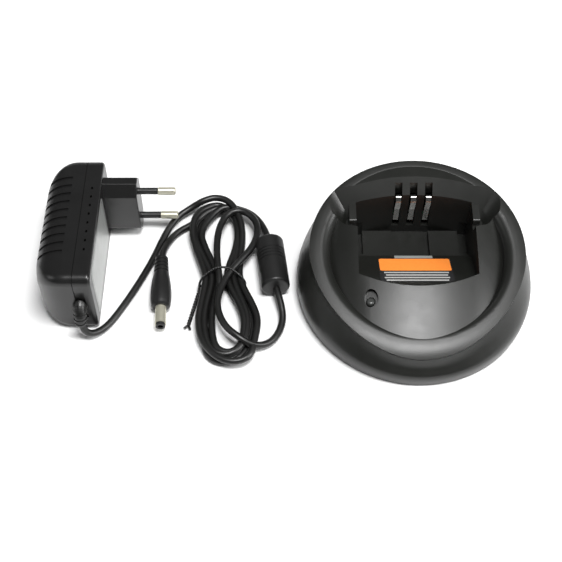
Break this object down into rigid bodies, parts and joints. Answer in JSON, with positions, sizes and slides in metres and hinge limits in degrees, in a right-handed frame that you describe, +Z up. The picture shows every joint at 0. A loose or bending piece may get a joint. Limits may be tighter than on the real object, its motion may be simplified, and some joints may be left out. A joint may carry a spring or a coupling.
{
  "type": "desktop charging cradle with plug-in adapter",
  "caption": "Round desktop charging cradle for a handheld transceiver, with a plug-in mains adapter, tied cord, ferrite bead and free DC plug.",
  "frame": {"origin": "bottom centre of the box round the cradle and the adapter, on the table", "axes": "+X from the adapter towards the cradle, +Y towards the cradle's back, +Z up"},
  "size_m": [0.2422, 0.1211, 0.0415],
  "materials": {
    "cradle_charcoal": "fine grained satin",
    "foot_rubber": "matte",
    "screw_steel": "plain",
    "contact_metal": "bright plated spring metal",
    "inner_black": "matte",
    "lens_clear": "translucent lens",
    "pocket_print": "printed orange band with plain bars on dark",
    "pocket_strip_grey": "pale grey strip",
    "board_green": "solder-masked board",
    "ferrite_grey": "matte ferrite",
    "can_grey": "sleeved can",
    "plug_white": "plain",
    "wire_red": "insulation",
    "adapter_black": "satin black",
    "label_silver": "blank satin label",
    "pin_nickel": "nickel plated",
    "sleeve_black": "smooth",
    "winding_copper": "tape wound",
    "cord_black": "smooth glossy jacket",
    "tie_black": "matte twist tie",
    "ferrite_black": "satin ribbed case",
    "plug_black": "satin moulded"
  },
  "bodies": {
    "cradle": {"cradle_top_shell": "cradle_charcoal", "cradle_base_cover": "cradle_charcoal", "cradle_feet": "foot_rubber", "base_screws": "screw_steel", "board_screws": "screw_steel", "contact_carrier": "inner_black", "led_lens": "lens_clear", "status_led": "lens_clear", "pocket_label": "pocket_print", "pocket_strip": "pocket_strip_grey", "charger_board": "board_green", "jack_board": "board_green", "charge_controller": "inner_black", "power_inductor": "ferrite_grey", "power_diode": "inner_black", "filter_capacitor": "can_grey", "dc_jack_housing": "inner_black", "dc_jack_pin": "contact_metal", "jack_board_plug": "plug_white", "charger_board_plug": "plug_white", "inner_wires": "wire_red"},
    "contact_left": {"contact_left": "contact_metal"},
    "contact_middle": {"contact_middle": "contact_metal"},
    "contact_right": {"contact_right": "contact_metal"},
    "adapter": {"adapter_back_shell": "adapter_black", "adapter_front_shell": "adapter_black", "adapter_label": "label_silver", "mains_pins": "pin_nickel", "pin_sleeves": "sleeve_black", "adapter_board": "board_green", "input_capacitor": "can_grey", "output_capacitor": "can_grey", "output_choke": "ferrite_grey", "line_fuse": "inner_black", "bridge_rectifier": "inner_black", "switch_transistor": "inner_black", "transformer_core": "ferrite_grey", "transformer_winding": "winding_copper", "cord_adapter_run": "cord_black", "cord_plug_run": "cord_black", "cord_ferrite_top_run": "cord_black", "cord_ferrite_low_run": "cord_black", "cord_hank": "cord_black", "cord_tie": "tie_black", "strain_relief": "cord_black", "ferrite_cover": "ferrite_black", "ferrite_core": "ferrite_grey", "dc_plug_boot": "plug_black", "dc_plug_barrel": "pin_nickel", "dc_plug_insulator": "inner_black", "dc_plug_contact": "contact_metal"}
  },
  "joints": [
    {"name": "contact_left_spring", "type": "hinge", "parent": "cradle", "child": "contact_left", "pos_m": [0.0547, 0.0346, 0.008], "axis": [-1, 0, 0], "range_deg": [0, 3.5], "stiffness_Nm_per_rad": 0.15},
    {"name": "contact_middle_spring", "type": "hinge", "parent": "cradle", "child": "contact_middle", "pos_m": [0.0622, 0.0346, 0.008], "axis": [-1, 0, 0], "range_deg": [0, 3.5], "stiffness_Nm_per_rad": 0.15},
    {"name": "contact_right_spring", "type": "hinge", "parent": "cradle", "child": "contact_right", "pos_m": [0.0697, 0.0346, 0.008], "axis": [-1, 0, 0], "range_deg": [0, 3.5], "stiffness_Nm_per_rad": 0.15},
    {"name": "adapter_pull_away", "type": "slide", "parent": "cradle", "child": "adapter", "axis": [-1, 0, 0], "range_m": [0, 0.1]}
  ]
}
